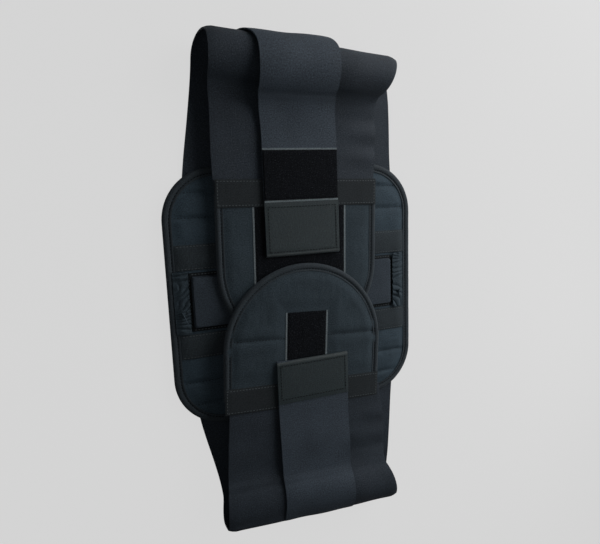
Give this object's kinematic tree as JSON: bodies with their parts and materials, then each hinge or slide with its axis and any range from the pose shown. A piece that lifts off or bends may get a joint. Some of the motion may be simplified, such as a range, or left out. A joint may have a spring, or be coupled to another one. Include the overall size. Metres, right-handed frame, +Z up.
{
  "type": "lumbar support belt",
  "caption": "Closed lower-back support belt with padded back panel, stays, elastic side bands, overlapping front panels and side pull straps.",
  "frame": {"origin": "centre of the back panel's outer face, on the surface that the belt lies on", "axes": "+X along the height of the belt as worn, +Y along the belt towards the side whose front panel is tucked under, +Z up, out of the back panel towards the wearer"},
  "size_m": [0.262, 0.4746, 0.0456],
  "materials": {
    "outer_fabric": "matt black laminated knit",
    "carrier_webbing": "matt woven",
    "stay_steel": "bare spring steel",
    "foam": "open foam",
    "lining_mesh": "matt brushed knit",
    "binding_tape": "woven tape with a slight sheen",
    "side_elastic": "ribbed woven elastic",
    "strap_elastic": "ribbed woven elastic",
    "tab_webbing": "fine smooth woven tape",
    "loop_pile": "brushed loop pile",
    "hook_patch": "moulded hooks"
  },
  "bodies": {
    "back": {"back_outer_cover": "outer_fabric", "stay_carrier": "carrier_webbing", "left_outer_stay": "stay_steel", "left_inner_stay": "stay_steel", "right_inner_stay": "stay_steel", "right_outer_stay": "stay_steel", "back_backing": "outer_fabric", "back_foam": "foam", "back_lining": "lining_mesh", "back_binding": "binding_tape", "left_stay_tape": "binding_tape", "right_stay_tape": "binding_tape", "lumbar_pad_cover": "lining_mesh", "lumbar_pad_foam": "foam", "lumbar_pad_gathers": "lining_mesh", "left_side_elastic_rear": "side_elastic", "left_side_elastic_fold": "side_elastic", "left_pull_strap_rear": "strap_elastic", "left_pull_strap_fold": "strap_elastic", "right_side_elastic_rear": "side_elastic", "right_side_elastic_fold": "side_elastic", "right_pull_strap_rear": "strap_elastic", "right_pull_strap_fold": "strap_elastic"},
    "left_flap": {"left_side_elastic_front": "side_elastic", "left_pull_strap_front": "strap_elastic", "left_front_lining": "lining_mesh", "left_front_foam": "foam", "left_front_cover": "outer_fabric", "left_front_binding": "binding_tape", "left_seam_tape": "binding_tape", "left_front_loop_patch": "loop_pile"},
    "right_flap": {"right_side_elastic_front": "side_elastic", "right_pull_strap_front": "strap_elastic", "right_front_lining": "lining_mesh", "right_front_foam": "foam", "right_front_cover": "outer_fabric", "right_front_binding": "binding_tape", "right_seam_tape": "binding_tape", "right_front_loop_patch": "loop_pile", "right_front_hook_patch": "hook_patch"},
    "left_strap_end": {"left_strap_end": "strap_elastic", "left_pull_tab": "tab_webbing", "left_strap_hook_patch": "hook_patch", "left_strap_loop_patch": "loop_pile"},
    "right_strap_end": {"right_strap_end": "strap_elastic", "right_pull_tab": "tab_webbing", "right_strap_hook_patch": "hook_patch"}
  },
  "joints": [
    {"name": "right_flap_fold", "type": "hinge", "parent": "back", "child": "right_flap", "pos_m": [0, -0.24921, 0.01375], "axis": [1, 0, 0], "range_deg": [0, 170], "deforming": ["right_side_elastic_fold", "right_pull_strap_fold"]},
    {"name": "left_flap_fold", "type": "hinge", "parent": "back", "child": "left_flap", "pos_m": [0, 0.2145, 0.0228], "axis": [-1, 0, 0], "range_deg": [0, 110.5], "deforming": ["left_side_elastic_fold", "left_pull_strap_fold"]},
    {"name": "left_strap_peel", "type": "hinge", "parent": "left_flap", "child": "left_strap_end", "pos_m": [0, 0.145, 0.023], "axis": [-1, 0, 0], "range_deg": [0, 120]},
    {"name": "right_strap_peel", "type": "hinge", "parent": "right_flap", "child": "right_strap_end", "pos_m": [0, -0.11227, 0.0296], "axis": [1, 0, 0], "range_deg": [0, 120]}
  ],
  "couplings": [
    {"joint": "left_flap_fold", "follows": "right_flap_fold", "ratio": 0.65}
  ]
}
